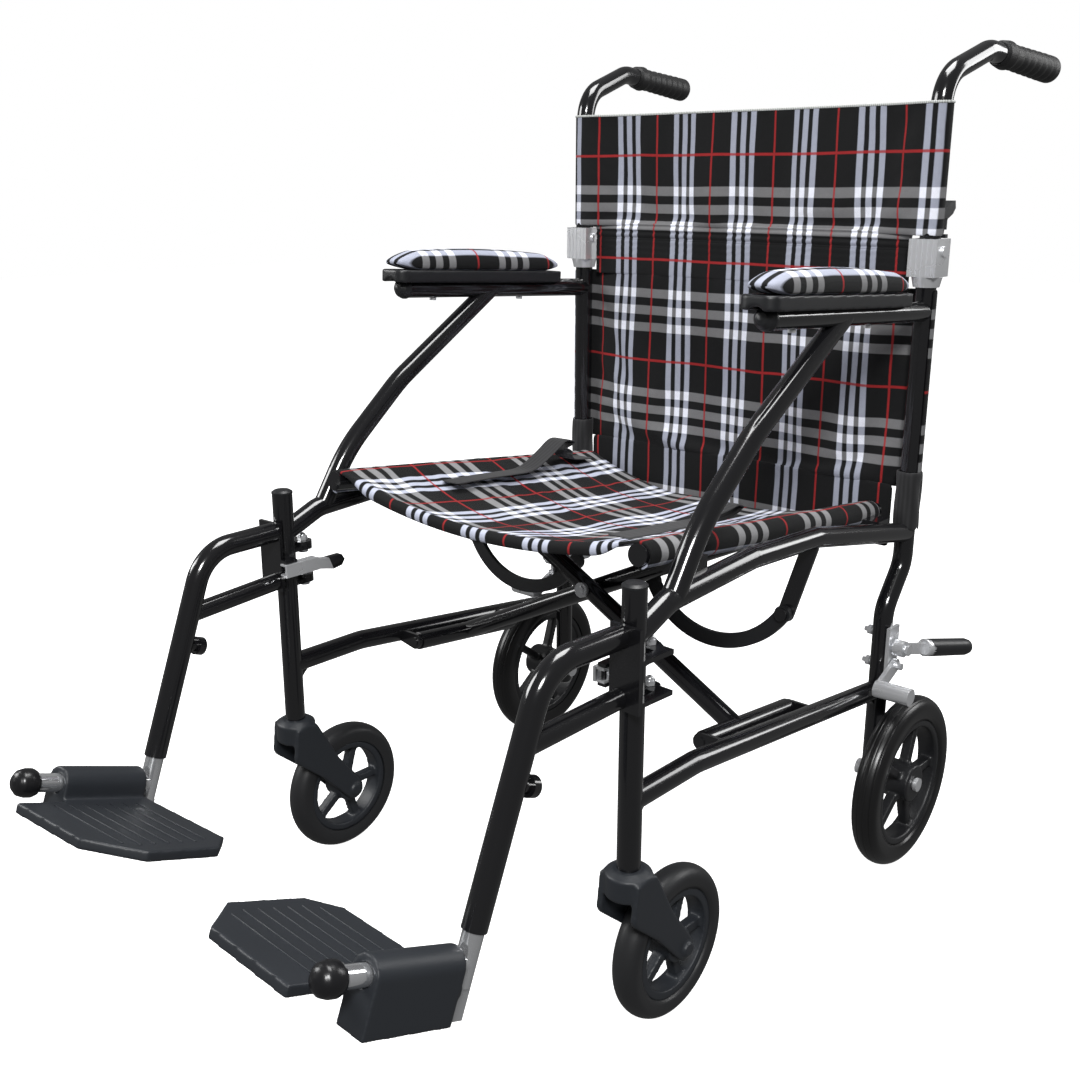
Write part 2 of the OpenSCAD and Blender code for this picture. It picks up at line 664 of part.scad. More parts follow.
module wheel_lock_lever(side) {
    out = 15;
    color("silver") sided(side) translate([0, lock_y, lock_z]) difference() {
        union() {
            bar_x(post_x + tube_r + 12.5, 9.5, 12);
            translate([post_x + tube_r + 9.5, 0, 0]) rotate([-11, 0, -out])
                translate([0, 0, -7]) cube([5, 62, 13]);
            translate([post_x + tube_r + 12, 0, 0]) rotate([-11, 0, -out])
                translate([0, 42, 0]) rotate([-90, 0, 0]) lock_grip();
        }
        bar_x(post_x + tube_r + 12, 4 + fit, 60);
    }
}

module lock_grip() {
    rotate_extrude() polygon([[0, 0], [9.4, 0], [10.4, 2], [10, 74], [8.5, 80], [5, 84], [0, 85.5]]);
}

module wheel_lock_shoe(side) {
    color("silver") sided(side) translate([0, lock_y, shoe_pin_z]) difference() {
        union() {
            bar_x(post_x + tube_r + 7.5, 8, 5);
            translate([post_x + tube_r + 5, 0, 0]) upright() linear_extrude(5) polygon([
                [2, 7], [-6, 6], [shoe_y - 4, shoe_z + 7], [shoe_y - 4, shoe_z - 4],
                [shoe_y + 6, shoe_z - 6], [4, -7]]);
            translate([0, shoe_y, shoe_z]) bar_x(post_x + tube_r + 26, 10, 42);
        }
        bar_x(post_x + tube_r + 10, 4 + fit, 30);
    }
}

// ---- Cross brace ---------------------------------------------------------------------------

module cross_tube(plane, r) {
    along_fall(brace_x, foot_y, foot_z) translate([0, 0, plane]) rotate([0, 0, 180 - brace_angle])
        rotate([0, 90, 0]) cylinder(r = r, h = brace_len);
}

// A cross tube with the sleeve at its foot on the +X side and the seat rail at its head on -X.
// plane is the offset of its tube from the crossing plane along the sleeve axis.
module brace(plane) {
    difference() {
        union() {
            cross_tube(plane, 10.5);
            along_fall(brace_x, sleeve_front_y, sleeve_front_z) cylinder(r = rail_r, h = sleeve_len);
            along_fall(-brace_x, rail_front_y, seat_front_z) cylinder(r = rail_r, h = rail_len);
        }
        along_fall(brace_x, sleeve_front_y, sleeve_front_z) translate([0, 0, -10])
            cylinder(r = 5 + fit, h = sleeve_len + 20);
        along_fall(0, brace_y, pivot_z) translate([0, 0, -40]) cylinder(r = 5 + fit, h = 80);
    }
}

module cross_brace_a() { color("black") brace(-brace_side); }
module cross_brace_b() { color("black") mirror([1, 0, 0]) brace(brace_side); }

module brace_pivot_bolt() {
    color("dimgray") along_fall(0, brace_y, pivot_z) {
        translate([0, 0, -brace_side - 17]) cylinder(r = 5, h = 2 * brace_side + 34);
        translate([0, 0, -brace_side - 15.5]) cylinder(r = 8.5, h = 4);
        translate([0, 0, brace_side + 11.5]) cylinder(r = 8.5, h = 4);
    }
}

// Curved link from the bracket pin in towards the other cross tube
module brace_link(side) {
    half = link_reach / 2;
    r = (half * half + link_sag * link_sag) / (2 * link_sag);
    a = 2 * asin(half / r);
    color("#1a1a1c") sided(side) along_fall(link_x, link_pin_y, link_pin_z) difference() {
        union() {
            translate([0, 0, -3.2]) cylinder(r = 9, h = 6.4);
            translate([-link_reach, 0, -3.2]) cylinder(r = 9, h = 6.4);
            translate([-half, r - link_sag, -3]) rotate([0, 0, 270 - a / 2]) rotate_extrude(angle = a)
                translate([r - 8, 0]) square([16, 6]);
        }
        translate([0, 0, -10]) cylinder(r = 4 + fit, h = 20);
    }
}

// ---- Upholstery and belt -------------------------------------------------------------------

function sag_at(x) = seat_sag * (1 - pow(x / brace_x, 2));

// Sling over the two seat rails: a sagging web with a half wrap over each rail
module seat_sling() {
    n = 24;
    skin = 2.2;
    top = [for (k = [-n : n]) let (x = k * (brace_x - 2) / n) [x, rail_r + skin + 0.3 - sag_at(x)]];
    low = [for (k = [n : -1 : -n]) let (x = k * (brace_x - 2) / n) [x, rail_r + 0.3 - sag_at(x) - 1.5]];
    color("lightslategray") difference() {
        along_fall(0, rail_front_y, seat_front_z) translate([0, 0, 3]) union() {
            linear_extrude(rail_len - 6) polygon(concat(top, low));
            for (s = [-1, 1]) translate([s * brace_x, 0, 0]) difference() {
                cylinder(r = rail_r + 0.4 + skin, h = rail_len - 6);
                translate([-20, -40, -1]) cube([40, 40, rail_len]);
            }
        }
        for (s = [-1, 1]) along_fall(s * brace_x, rail_front_y, seat_front_z) translate([0, 0, -10])
            cylinder(r = rail_r + 0.4, h = rail_len + 20);
        cross_tube(-brace_side, 11);
        mirror([1, 0, 0]) cross_tube(brace_side, 11);
    }
}

// Sling panel between the posts or canes, bowed to the rear in plan
module back_panel(z0, z1) {
    n = 16;
    half = post_x - 19.5;
    bow = 6;
    function bow_at(x) = bow * (1 - pow(x / half, 2));
    front = [for (k = [-n : n]) let (x = k * half / n) [x, back_y - 3 + bow_at(x)]];
    rear = [for (k = [n : -1 : -n]) let (x = k * half / n) [x, back_y + 3 + bow_at(x)]];
    color("lightslategray") translate([0, 0, z0]) linear_extrude(z1 - z0) polygon(concat(front, rear));
}
module back_lower() { back_panel(436, hinge_z - 0.5); }
module back_upper() { back_panel(hinge_z + 0.5, back_top_z); }

// Two webbing straps that lie on the seat, one from each rear corner
module seat_belt() {
    strap_w = 38;
    color("#17171a") for (s = [-1, 1]) sided(s)
        along_fall(0, rail_front_y, seat_front_z) translate([0, 0, 280])
            linear_extrude(strap_w) polygon([
                [brace_x - 22, rail_r - sag_at(brace_x - 22) + 4],
                [brace_x - 120, rail_r - sag_at(brace_x - 120) + 5],
                [brace_x - 120, rail_r - sag_at(brace_x - 120) + 7.5],
                [brace_x - 22, rail_r - sag_at(brace_x - 22) + 6.5]]);
}

// ---- Assembly ------------------------------------------------------------------------------

front_post(1);  // front_post_left
lower_rail(1);  // lower_rail_left
arched_rail(1);  // arched_rail_left
armrest_frame(1);  // armrest_frame_left
rear_post(1);  // rear_post_left
end_caps(1);  // end_caps_left
armrest_base(1);  // armrest_base_left
armrest_pad(1);  // armrest_pad_left
hinge_block(1);  // hinge_block_left
frame_bolts(1);  // frame_bolts_left
caster_fork(1);  // caster_fork_left
caster_tyre(1);  // caster_tyre_left
caster_rim(1);  // caster_rim_left
rear_tyre(1);  // rear_tyre_left
rear_rim(1);  // rear_rim_left
cane(1);  // cane_left
grip(1);  // grip_left
back_latch(1);  // back_latch_left
hanger(1);  // hanger_left
hanger_latch(1);  // hanger_latch_left
extension(1);  // extension_left
footplate(1);  // footplate_left
wheel_lock_base(1);  // wheel_lock_base_left
wheel_lock_lever(1);  // wheel_lock_lever_left
wheel_lock_shoe(1);  // wheel_lock_shoe_left
front_post(-1);  // front_post_right
lower_rail(-1);  // lower_rail_right
arched_rail(-1);  // arched_rail_right
armrest_frame(-1);  // armrest_frame_right
rear_post(-1);  // rear_post_right
end_caps(-1);  // end_caps_right
armrest_base(-1);  // armrest_base_right
armrest_pad(-1);  // armrest_pad_right
hinge_block(-1);  // hinge_block_right
frame_bolts(-1);  // frame_bolts_right
caster_fork(-1);  // caster_fork_right
caster_tyre(-1);  // caster_tyre_right
caster_rim(-1);  // caster_rim_right
rear_tyre(-1);  // rear_tyre_right
rear_rim(-1);  // rear_rim_right
cane(-1);  // cane_right
grip(-1);  // grip_right
back_latch(-1);  // back_latch_right
hanger(-1);  // hanger_right
hanger_latch(-1);  // hanger_latch_right
extension(-1);  // extension_right
footplate(-1);  // footplate_right
wheel_lock_base(-1);  // wheel_lock_base_right
wheel_lock_lever(-1);  // wheel_lock_lever_right
wheel_lock_shoe(-1);  // wheel_lock_shoe_right
cross_brace_a();
cross_brace_b();
brace_pivot_bolt();
brace_link(1);  // brace_link_left
brace_link(-1);  // brace_link_right
seat_sling();
back_lower();
back_upper();
seat_belt();
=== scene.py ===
"""Looks of the folding transport wheelchair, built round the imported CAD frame. Lengths are metres."""

import json
import math

import bpy
from mathutils import Matrix, Vector


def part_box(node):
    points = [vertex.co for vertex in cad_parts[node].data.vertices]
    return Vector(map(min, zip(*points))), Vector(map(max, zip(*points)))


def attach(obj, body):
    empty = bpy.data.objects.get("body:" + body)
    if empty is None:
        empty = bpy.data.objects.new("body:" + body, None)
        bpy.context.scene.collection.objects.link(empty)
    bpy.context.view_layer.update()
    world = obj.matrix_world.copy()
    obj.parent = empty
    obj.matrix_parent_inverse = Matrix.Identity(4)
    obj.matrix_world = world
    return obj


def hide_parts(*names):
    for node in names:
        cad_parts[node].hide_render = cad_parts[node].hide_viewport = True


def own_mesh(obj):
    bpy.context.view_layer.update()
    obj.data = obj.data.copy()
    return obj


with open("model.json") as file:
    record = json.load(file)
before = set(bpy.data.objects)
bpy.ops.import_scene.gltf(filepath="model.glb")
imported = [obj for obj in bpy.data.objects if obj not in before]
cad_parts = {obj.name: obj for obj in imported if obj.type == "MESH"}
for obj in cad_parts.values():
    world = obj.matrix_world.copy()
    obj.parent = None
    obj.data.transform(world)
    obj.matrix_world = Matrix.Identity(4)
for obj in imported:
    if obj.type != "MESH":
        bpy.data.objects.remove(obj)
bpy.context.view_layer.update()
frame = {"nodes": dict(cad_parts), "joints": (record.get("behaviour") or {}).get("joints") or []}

MM = 0.001
joints = {j["name"]: j for j in frame["joints"]}
rail_pos = Vector(joints["fold_seat"]["pos_m"])        # front end of the left seat rail's axis
fall_axis = Vector(joints["fold"]["axis"])             # along the rails, towards the rear
fall_up = Vector((0, -fall_axis.z, fall_axis.y))
post_x, back_y, hinge_z = joints["back_fold_left"]["pos_m"]
rail_x = rail_pos.x
rail_len = 452 * MM
rail_r = 10.5 * MM
tube_r = 11.1 * MM
back_top_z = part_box("back_upper")[1][2]


def on_fall(x, s, h):
    """Point x across, s behind the front end of the rails and h above their axes, square to them."""
    p = rail_pos + fall_axis * s + fall_up * h
    return Vector((x, p.y, p.z))


# ---- Materials -----------------------------------------------------------------------------------


class Shader:
    """A material whose nodes are added one call at a time."""

    def __init__(self, name, color=(0.8, 0.8, 0.8), roughness=0.5, metallic=0.0, coat=0.0, sheen=0.0):
        self.material = bpy.data.materials.new(name)
        self.material.use_nodes = True
        self.tree = self.material.node_tree
        self.shader = self.tree.nodes["Principled BSDF"]
        self.set("Base Color", (*color, 1))
        self.set("Roughness", roughness)
        self.set("Metallic", metallic)
        self.set("Coat Weight", coat)
        self.set("Coat Roughness", 0.08)
        self.set("Sheen Weight", sheen)

    def set(self, socket, value):
        self.shader.inputs[socket].default_value = value

    def add(self, kind, **inputs):
        node = self.tree.nodes.new(kind)
        for name, value in inputs.items():
            socket = node.inputs[int(name[1:])] if name[0] == "_" else node.inputs[name.replace("_", " ")]
            if hasattr(value, "is_linked"):
                self.tree.links.new(value, socket)
            else:
                socket.default_value = value
        return node

    def math(self, operation, a, b=0.0):
        node = self.add("ShaderNodeMath", _0=a, _1=b)
        node.operation = operation
        return node.outputs[0]

    def mix(self, factor, a, b):
        node = self.add("ShaderNodeMix")
        node.data_type = "RGBA"
        for index, value in ((0, factor), (6, a), (7, b)):
            if hasattr(value, "is_linked"):
                self.tree.links.new(value, node.inputs[index])
            else:
                node.inputs[index].default_value = value
        return node.outputs[2]

    def noise(self, scale, detail=2.0, vector=None):
        where = vector or self.add("ShaderNodeTexCoord").outputs["Object"]
        return self.add("ShaderNodeTexNoise", Vector=where, Scale=scale, Detail=detail).outputs["Fac"]

    def spread(self, value, low, high):
        node = self.add("ShaderNodeMapRange", Value=value, To_Min=low, To_Max=high)
        return node.outputs["Result"]

    def link(self, output, socket):
        self.tree.links.new(output, self.shader.inputs[socket])

    def bump(self, height, strength, distance):
        node = self.add("ShaderNodeBump", Height=height, Strength=strength, Distance=distance)
        self.link(node.outputs["Normal"], "Normal")


def hard_surface(name, color, roughness, grain, depth, metallic=0.0, coat=0.0, wear=0.03):
    """Paint, plastic, rubber or metal with a fine grain, uneven gloss and slight colour variation."""
    s = Shader(name, color, roughness[0], metallic, coat)
    cloud = s.noise(14.0, 4.0)
    s.link(s.spread(cloud, roughness[0], roughness[1]), "Roughness")
    worn = tuple(min(1.0, c + wear * 0.5) for c in color)
    s.link(s.mix(s.spread(s.noise(45.0, 6.0), 0.0, wear * 6), (*color, 1), (*worn, 1)), "Base Color")
    s.bump(s.noise(grain, 3.0), 0.25, depth)
    return s.material


powder_black = hard_surface("powder_black", (0.006, 0.006, 0.007), (0.13, 0.2), 700.0, 0.00012, coat=0.7,
                            wear=0.01)
satin_black = hard_surface("satin_black", (0.012, 0.0125, 0.014), (0.34, 0.44), 1500.0, 0.0002, wear=0.01)
nylon_grey = hard_surface("nylon_grey", (0.019, 0.022, 0.027), (0.4, 0.52), 1300.0, 0.0003, wear=0.015)
ball_black = hard_surface("ball_black", (0.008, 0.008, 0.009), (0.24, 0.32), 900.0, 0.0001, wear=0.01)
rubber_black = hard_surface("rubber_black", (0.009, 0.009, 0.0095), (0.45, 0.6), 900.0, 0.0004, wear=0.01)
tyre_black = hard_surface("tyre_black", (0.007, 0.007, 0.0075), (0.24, 0.36), 500.0, 0.0003, wear=0.01)
tyre_grey = hard_surface("tyre_grey", (0.017, 0.0175, 0.019), (0.36, 0.48), 500.0, 0.0003, wear=0.012)
zinc = hard_surface("zinc", (0.78, 0.79, 0.81), (0.2, 0.34), 350.0, 0.0003, metallic=0.65, wear=0.04)
chrome = hard_surface("chrome", (0.83, 0.84, 0.86), (0.08, 0.15), 250.0, 0.0001, metallic=0.85, wear=0.02)
# Light grey, used only for the right wheel-lock handle: a painted highlight on a part that is black plastic
# like the left handle.
lock_handle_painted_highlight_grey = hard_surface("lock_handle_painted_highlight_grey", (0.55, 0.57, 0.6), (0.3, 0.4), 900.0, 0.0002, wear=0.03)


def plaid(name, phase_u, phase_v, lift=1.0, drift=0.004, plain=(-9.0, 9.0)):
    """Woven check on the map "weave", in metres: triple pale warp stripes, triple grey weft, red lines.

    There are no red weft lines below plain[0] and no grey weft stripes above plain[1]."""
    warp_period, weft_period = 83.5 * MM, 127.2 * MM
    s = Shader(name, (0.02, 0.02, 0.02), 0.85, sheen=0.03)
    s.set("Specular IOR Level", 0.25)
    uv = s.add("ShaderNodeUVMap")
    uv.uv_map = "weave"
    split = s.add("ShaderNodeSeparateXYZ", Vector=uv.outputs["UV"])
    wobble = s.math("MULTIPLY", s.math("SUBTRACT", s.noise(9.0, 2.0), 0.5), drift)
    u = s.math("ADD", split.outputs["X"], wobble)
    v = s.math("ADD", split.outputs["Y"], wobble)

    def band(coord, centre, half):
        edge = s.math("ABSOLUTE", s.math("SUBTRACT", coord, centre))
        return s.add("ShaderNodeMapRange", Value=edge, From_Min=half - 0.0005, From_Max=half + 0.0005,
                     To_Min=1.0, To_Max=0.0).outputs["Result"]

    def stripes(coord, phase, period, pitch, half, red_half):
        away = s.math("PINGPONG", s.math("ADD", coord, 10 * period - phase), period / 2)
        triple = s.math("MAXIMUM", band(away, 0.0, half), band(away, pitch, half))
        return triple, band(away, period / 2, red_half)

    warp, warp_red = stripes(u, phase_u, warp_period, 12.8 * MM, 3.6 * MM, 1.2 * MM)
    weft, weft_red = stripes(v, phase_v, weft_period, 21.3 * MM, 5.6 * MM, 1.5 * MM)
    weft = s.math("MULTIPLY", weft, s.math("LESS_THAN", v, plain[1]))
    weft_red = s.math("MULTIPLY", weft_red, s.math("GREATER_THAN", v, plain[0]))
    ground, weft_grey = (0.0042, 0.0044, 0.005, 1), (0.19 * lift, 0.19 * lift, 0.195 * lift, 1)
    color = s.mix(s.math("MULTIPLY", weft, 0.92), ground, weft_grey)
    color = s.mix(s.math("MULTIPLY", warp, 0.95), color, (0.36 * lift, 0.38 * lift, 0.46 * lift, 1))
    color = s.mix(s.math("MULTIPLY", warp, weft), color, (0.86, 0.88, 0.97, 1))
    either_red = s.math("MAXIMUM", warp_red, weft_red)
    color = s.mix(s.math("MULTIPLY", either_red, 0.85), color, (0.36, 0.018, 0.02, 1))
    thread_u = s.math("SINE", s.math("MULTIPLY", u, math.tau / 0.0011))
    thread_v = s.math("SINE", s.math("MULTIPLY", v, math.tau / 0.0011))
    weave = s.math("MULTIPLY", thread_u, thread_v)
    shade = s.add("ShaderNodeHueSaturation", Color=color,
                  Value=s.spread(s.math("ADD", weave, s.noise(160.0, 3.0)), 0.84, 1.12))
    s.link(shade.outputs["Color"], "Base Color")
    s.bump(weave, 0.35, 0.0002)
    return s.material


def webbing(name, color, pitch):
    """Narrow woven tape with ribs across it."""
    s = Shader(name, color, 0.72, sheen=0.1)
    where = s.add("ShaderNodeTexCoord").outputs["Object"]
    wave = s.add("ShaderNodeTexWave", Vector=where, Scale=1 / pitch / math.tau, Distortion=0.6)
    tint = tuple(c * 1.9 + 0.002 for c in color)
    s.link(s.mix(wave.outputs["Fac"], (*color, 1), (*tint, 1)), "Base Color")
    s.bump(wave.outputs["Fac"], 0.5, 0.0003)
    return s.material


plaid_back = plaid("plaid_back", -4 * MM, 742.4 * MM, plain=(0.445, 0.83))
plaid_seat = plaid("plaid_seat", 3 * MM, 60 * MM, lift=1.5, drift=0.014)
plaid_pad = plaid("plaid_pad", 0.0, 24 * MM, lift=1.2)
hem_pale = webbing("hem_pale", (0.3, 0.31, 0.3), 0.0012)
tape_black = webbing("tape_black", (0.008, 0.008, 0.009), 0.0025)

NODE_MATERIALS = {
    "front_post": powder_black, "lower_rail": powder_black, "arched_rail": powder_black,
    "armrest_frame": powder_black, "rear_post": powder_black, "cane": powder_black, "hanger": powder_black,
    "cross_brace_a": powder_black, "cross_brace_b": powder_black, "brace_link": satin_black,
    "end_caps": satin_black, "armrest_base": satin_black, "back_latch": satin_black,
    "hinge_block": zinc, "frame_bolts": zinc, "hanger_latch": zinc, "wheel_lock_base": zinc,
    "wheel_lock_lever": zinc, "wheel_lock_shoe": zinc, "brace_pivot_bolt": zinc, "extension": chrome,
    "caster_fork": nylon_grey, "footplate": nylon_grey, "caster_tyre": tyre_grey, "caster_rim": nylon_grey,
    "rear_tyre": tyre_black, "rear_rim": satin_black, "grip": rubber_black,
}
for node_name, node_object in frame["nodes"].items():
    key = node_name.removesuffix("_left").removesuffix("_right")
    look = NODE_MATERIALS.get(node_name) or NODE_MATERIALS.get(key) or satin_black
    node_object.data.materials.clear()
    node_object.data.materials.append(look)

# ---- Mesh helpers --------------------------------------------------------------------------------


def new_piece(name, points, faces, material):
    mesh = bpy.data.meshes.new(name)
    mesh.from_pydata([tuple(p) for p in points], [], faces)
    mesh.validate()
    piece = bpy.data.objects.new(name, mesh)
    bpy.context.scene.collection.objects.link(piece)
    mesh.materials.append(material)
    mesh.polygons.foreach_set("use_smooth", [True] * len(mesh.polygons))
    return piece


def grid_piece(name, rows, weave, material):
    """Sheet through rows of points. weave holds the map coordinates of every point, in metres."""
    wide = len(rows[0])
    faces = [(r * wide + c, r * wide + c + 1, (r + 1) * wide + c + 1, (r + 1) * wide + c)
             for r in range(len(rows) - 1) for c in range(wide - 1)]
    piece = new_piece(name, [p for row in rows for p in row], faces, material)
    flat = [uv for row in weave for uv in row]
    layer = piece.data.uv_layers.new(name="weave")
    for loop in piece.data.loops:
        layer.data[loop.index].uv = flat[loop.vertex_index]
    return piece


def settle(piece):
    """Applies the modifiers of a piece to its mesh."""
    shown = piece.evaluated_get(bpy.context.evaluated_depsgraph_get())
    mesh = bpy.data.meshes.new_from_object(shown)
    piece.modifiers.clear()
    piece.data = mesh
    return piece


def thicken(piece, thickness, levels=1):
    """Gives a sheet its thickness, half on each side, and smooths it."""
    solid = piece.modifiers.new("solid", "SOLIDIFY")
    solid.thickness = thickness
    solid.offset = 0
    piece.modifiers.new("fine", "SUBSURF").levels = levels
    return settle(piece)


def hang(piece, pinned, cap, slack=0.0, pressure=0.0, gravity=1.0, frames=16):
    """Cloth simulation from the modelled shape. No point moves further than cap.

    pinned(index, point) says which points stay. slack is the share by which the cloth is cut too long."""
    start = [v.co.copy() for v in piece.data.vertices]
    pins = piece.vertex_groups.new(name="pins")
    pins.add([i for i, p in enumerate(start) if pinned(i, p)], 1.0, "REPLACE")
    cloth = piece.modifiers.new("cloth", "CLOTH")
    cloth.settings.quality = 5
    cloth.settings.mass = 0.2
    cloth.settings.vertex_group_mass = "pins"
    cloth.settings.shrink_min = -slack
    cloth.settings.use_pressure = pressure > 0
    cloth.settings.uniform_pressure_force = pressure
    cloth.settings.effector_weights.gravity = gravity
    cloth.point_cache.frame_start = 1
    cloth.point_cache.frame_end = frames
    for f in range(1, frames + 1):
        bpy.context.scene.frame_set(f)
    shown = piece.evaluated_get(bpy.context.evaluated_depsgraph_get())
    moved = [v.co.copy() for v in shown.data.vertices]
    piece.modifiers.remove(cloth)
    piece.vertex_groups.clear()
    bpy.context.scene.frame_set(1)
    for vertex, a, b in zip(piece.data.vertices, start, moved):
        step = b - a
        if step.length > cap:
            step *= cap / step.length
        vertex.co = a + step


def twin(piece, body, *nodes):
    """Rides a left-hand piece on its body, makes its mirror image and rides that on the right-hand body."""
    mesh = piece.data.copy()
    mesh.transform(Matrix.Scale(-1, 4, (1, 0, 0)))
    mesh.flip_normals()
    other = bpy.data.objects.new(piece.name.replace("_left", "_right"), mesh)
    bpy.context.scene.collection.objects.link(other)
    for shape, side in ((piece, "left"), (other, "right")):
        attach(shape, f"{body}_{side}")
        if nodes:
            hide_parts(*(f"{n}_{side}" for n in nodes))
    return piece, other


def ring_faces(count, wide):
    """Faces between rings of points, each ring wide points round."""
    return [(r * wide + c, r * wide + (c + 1) % wide, (r + 1) * wide + (c + 1) % wide, (r + 1) * wide + c)
            for r in range(count - 1) for c in range(wide)]


def lathe(name, profile, matrix, material, segments):
    """Turns a closed outline of (radius, height) points about local Z."""
    points = [matrix @ Vector((r * math.cos(a), r * math.sin(a), z)) for r, z in profile
              for a in (math.tau * i / segments for i in range(segments))]
    return new_piece(name, points, ring_faces(len(profile), segments), material)


def rounded(outline, radius, steps):
    """Outline with every corner turned into an arc of up to that radius."""
    out = []
    n = len(outline)
    for i in range(n):
        p, q, r = (Vector(outline[(i + k - 1) % n]) for k in range(3))
        a, b = (p - q), (r - q)
        reach = min(radius, a.length * 0.45, b.length * 0.45)
        start, end = q + a.normalized() * reach, q + b.normalized() * reach
        for k in range(steps + 1):
            t = k / steps
            out.append((1 - t) ** 2 * start + 2 * t * (1 - t) * q + t * t * end)
    return out


def slab(name, outline, z0, z1, edge, matrix, material, steps):
    """Closed plate over an anticlockwise outline, from z0 to z1, with rounded rims."""
    n = len(outline)
    normals = []
    for i in range(n):
        d = (outline[(i + 1) % n] - outline[i - 1]).normalized()
        normals.append(Vector((d.y, -d.x)))
    layers = []
    for k in range(steps + 1):
        a = math.pi / 2 * k / steps
        layers.append((edge * (1 - math.sin(a)), z0 + edge * (1 - math.cos(a))))
    for k in range(steps + 1):
        a = math.pi / 2 * (1 - k / steps)
        layers.append((edge * (1 - math.sin(a)), z1 - edge * (1 - math.cos(a))))
    points = [matrix @ Vector((*(p - m * inset), z)) for inset, z in layers for p, m in zip(outline, normals)]
    faces = ring_faces(len(layers), n)
    faces.append(tuple(reversed(range(n))))
    faces.append(tuple(range((len(layers) - 1) * n, len(layers) * n)))
    return new_piece(name, points, faces, material)


def moulded(name, node, voxel, rounds, material):
    """Copy of a CAD node as one moulding: its edges and inner corners come out rounded."""
    piece = bpy.data.objects.new(name, frame["nodes"][node].data.copy())
    bpy.context.scene.collection.objects.link(piece)
    remesh = piece.modifiers.new("voxels", "REMESH")
    remesh.mode = "VOXEL"
    remesh.voxel_size = voxel
    remesh.use_smooth_shade = True
    soft = piece.modifiers.new("soft", "SMOOTH")
    soft.factor = 0.5
    soft.iterations = rounds
    settle(piece)
    piece.data.materials.clear()
    piece.data.materials.append(material)
    return piece


def skin(name, node, inside, grow, material):
    """Shell over the faces of a CAD node whose middle passes the test, for a part of another material."""
    source = frame["nodes"][node].data
    keep = [p for p in source.polygons if inside(p.center)]
    used = sorted({i for p in keep for i in p.vertices})
    spots = {}
    index = {}
    for i in used:
        co = source.vertices[i].co
        key = tuple(round(c, 6) for c in co)
        index[i] = spots.setdefault(key, len(spots))
    points = [Vector(k) for k in spots]
    faces = [tuple(index[i] for i in p.vertices) for p in keep]
    faces = [f for f in faces if len(set(f)) == len(f)]
    piece = new_piece(name, points, faces, material)
    for vertex, normal in [(v, v.normal.copy()) for v in piece.data.vertices]:
        vertex.co += normal * grow
    return piece


def ribbon(name, path, width, thickness, material):
    """Strap along a path of (point, direction across) pairs."""
    half = width / 2
    rows = [[p + across * half * k for k in (-1, -0.5, 0, 0.5, 1)] for p, across in path]
    weave = [[(half * k, i * 0.01) for k in (-1, -0.5, 0, 0.5, 1)] for i in range(len(path))]
    return thicken(grid_piece(name, rows, weave, material), thickness, 2)


# ---- Seat ----------------------------------------------------------------------------------------

SEAT_SAG = 36 * MM
EDGE_SAG = 0.7               # share of that at the front and rear edges
SEAT_SKIN = 2.2 * MM
SEAT_RUN = rail_len - 12 * MM
HEM_ROLL = 7 * MM            # radius of the rolled hem at the front
HEM_INSET = 4 * MM
EDGE_REACH = 150 * MM        # how far the tighter edges reach into the seat
WEB_LEAN = math.radians(20)  # where the cloth leaves the rail, past its top
WRAP_COUNT, WEB_COUNT, RUN_COUNT = 8, 44, 40
seat_r = rail_r + 1.6 * MM
seat_edge_x = rail_x - seat_r * math.sin(WEB_LEAN)


def seat_section():
    """Cross-section of the seat cloth over both rails, as (x, height) from under one rail to the other."""
    edge_h = seat_r * math.cos(WEB_LEAN)
    left = [(rail_x + seat_r * math.cos(a), seat_r * math.sin(a)) for a in
            (math.radians(-95 + 205 * k / WRAP_COUNT) for k in range(WRAP_COUNT))]
    web = []
    for k in range(WEB_COUNT + 1):
        x = seat_edge_x * (1 - 2 * k / WEB_COUNT)
        web.append((x, edge_h - SEAT_SAG * (1 - (x / seat_edge_x) ** 2)))
    right = [(-x, h) for x, h in reversed(left)]
    return left + web + right


def build_seat():
    section = seat_section()
    lengths = [0.0]
    for a, b in zip(section, section[1:]):
        lengths.append(lengths[-1] + math.dist(a, b))
    middle = lengths[-1] / 2
    rows, weave = [], []
    hem = [math.radians(a) for a in (235, 205, 175, 145, 115)]
    steps = [("roll", a) for a in hem]
    steps += [("run", HEM_ROLL + (SEAT_RUN - HEM_ROLL) * k / RUN_COUNT) for k in range(RUN_COUNT + 1)]
    along = 0.0
    for kind, value in steps:
        row, marks = [], []
        for (x, h), l in zip(section, lengths):
            free = max(0.0, min(1.0, (rail_x - 20 * MM - abs(x)) / (25 * MM)))
            radius = 0.8 * MM + (HEM_ROLL - 0.8 * MM) * free
            inward = 0.0 if kind == "roll" else min(1.0, min(value, rail_len - value) / EDGE_REACH)
            if abs(x) < seat_edge_x:
                h += SEAT_SAG * (1 - (x / seat_edge_x) ** 2) * (1 - EDGE_SAG) * (1 - inward) ** 1.5
            if kind == "roll":
                s = HEM_INSET + radius * (1 + math.cos(value))
                drop = radius * (1 - math.sin(value))
                ripple = 0.0
            else:
                s, drop = HEM_INSET + value, 0.0
                ripple = 2.4 * MM * free * math.sin(x * 38 + s * 11) * math.sin(s * 26 + x * 9)
            row.append(on_fall(x, s, h - drop + ripple * min(1.0, s / 0.06)))
            marks.append((middle - l, along))
        rows.append(row)
        weave.append(marks)
        along += 5 * MM if kind == "roll" else (SEAT_RUN - HEM_ROLL) / RUN_COUNT
    seat = grid_piece("seat_cloth", rows, weave, plaid_seat)
    hem_points = len(hem) * len(section)
    hang(seat, lambda i, p: abs(p.x) > rail_x - 14 * MM or i < hem_points, 9 * MM, slack=0.012, gravity=0.5)
    thicken(seat, SEAT_SKIN)
    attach(seat, "seat")
    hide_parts("seat_sling")
    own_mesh(seat)


build_seat()

